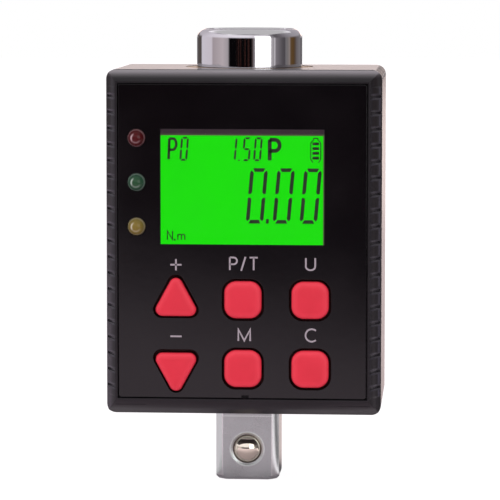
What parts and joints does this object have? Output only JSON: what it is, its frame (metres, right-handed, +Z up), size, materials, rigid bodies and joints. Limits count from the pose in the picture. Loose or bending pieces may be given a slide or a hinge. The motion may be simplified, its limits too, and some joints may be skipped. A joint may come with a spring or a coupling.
{
  "type": "digital torque adapter",
  "caption": "Handheld digital torque adapter: a square-drive shaft through a small black case with a lit display, indicator lamps and red keys.",
  "frame": {"origin": "centre of the male square's end face, on the shaft's axis", "axes": "+Z up the shaft from the male square to the female square, -Y out of the front panel, +X to the right as one reads the display"},
  "size_m": [0.0544, 0.037, 0.0909],
  "materials": {
    "case_plastic": "satin moulded black",
    "panel_plastic": "satin black",
    "window_clear": "clear",
    "display_green": "lit green",
    "backlight_clear": "translucent",
    "frame_plastic": "moulded",
    "board_green": "solder mask",
    "chip_black": "moulded",
    "connector_ivory": "moulded",
    "cable_film": "film",
    "gauge_foil": "foil",
    "chrome_plate": "polished and satin chrome",
    "bush_bronze": "sintered, satin",
    "mat_silicone": "moulded",
    "key_silicone": "satin red",
    "lamp_red": "tinted clear",
    "lamp_green": "tinted clear",
    "lamp_yellow": "diffused",
    "ball_steel": "polished",
    "spring_wire": "drawn",
    "cell_wrap": "printed sleeve",
    "lead_sleeve": "sleeved",
    "screw_steel": "blackened"
  },
  "bodies": {
    "housing": {"front_shell": "case_plastic", "back_shell": "case_plastic", "front_panel": "panel_plastic", "display_window": "window_clear", "lcd_glass": "display_green", "lcd_backlight": "backlight_clear", "lcd_frame": "frame_plastic", "circuit_board": "board_green", "processor_chip": "chip_black", "amplifier_chip": "chip_black", "buzzer": "chip_black", "gauge_connector": "connector_ivory", "gauge_cable": "cable_film", "strain_gauges": "gauge_foil", "torque_shaft": "chrome_plate", "upper_bush": "bush_bronze", "lower_bush": "bush_bronze", "keypad_mat": "mat_silicone", "led_red": "lamp_red", "led_green": "lamp_green", "led_yellow": "lamp_yellow", "battery_left": "cell_wrap", "battery_right": "cell_wrap", "battery_terminals": "spring_wire", "battery_springs": "spring_wire", "battery_leads": "lead_sleeve", "housing_screws": "screw_steel", "board_screws": "screw_steel"},
    "plus_key": {"key_plus": "key_silicone"},
    "minus_key": {"key_minus": "key_silicone"},
    "set_key": {"key_set": "key_silicone"},
    "unit_key": {"key_unit": "key_silicone"},
    "memory_key": {"key_memory": "key_silicone"},
    "clear_key": {"key_clear": "key_silicone"},
    "ball": {"detent_ball": "ball_steel", "detent_spring": "spring_wire"},
    "door": {"battery_door": "case_plastic", "door_screws": "screw_steel"}
  },
  "joints": [
    {"name": "plus_press", "type": "slide", "parent": "housing", "child": "plus_key", "axis": [0, 1, 0], "range_m": [0, 0.0008], "stiffness_N_per_m": 1200, "springref_m": -0.0002},
    {"name": "minus_press", "type": "slide", "parent": "housing", "child": "minus_key", "axis": [0, 1, 0], "range_m": [0, 0.0008], "stiffness_N_per_m": 1200, "springref_m": -0.0002},
    {"name": "set_press", "type": "slide", "parent": "housing", "child": "set_key", "axis": [0, 1, 0], "range_m": [0, 0.0008], "stiffness_N_per_m": 1200, "springref_m": -0.0002},
    {"name": "unit_press", "type": "slide", "parent": "housing", "child": "unit_key", "axis": [0, 1, 0], "range_m": [0, 0.0008], "stiffness_N_per_m": 1200, "springref_m": -0.0002},
    {"name": "memory_press", "type": "slide", "parent": "housing", "child": "memory_key", "axis": [0, 1, 0], "range_m": [0, 0.0008], "stiffness_N_per_m": 1200, "springref_m": -0.0002},
    {"name": "clear_press", "type": "slide", "parent": "housing", "child": "clear_key", "axis": [0, 1, 0], "range_m": [0, 0.0008], "stiffness_N_per_m": 1200, "springref_m": -0.0002},
    {"name": "ball_press", "type": "slide", "parent": "housing", "child": "ball", "axis": [0, 1, 0], "range_m": [0, 0.0012], "stiffness_N_per_m": 6000, "springref_m": -0.0005},
    {"name": "door_lift", "type": "slide", "parent": "housing", "child": "door", "axis": [0, 1, 0], "range_m": [0, 0.012]}
  ]
}
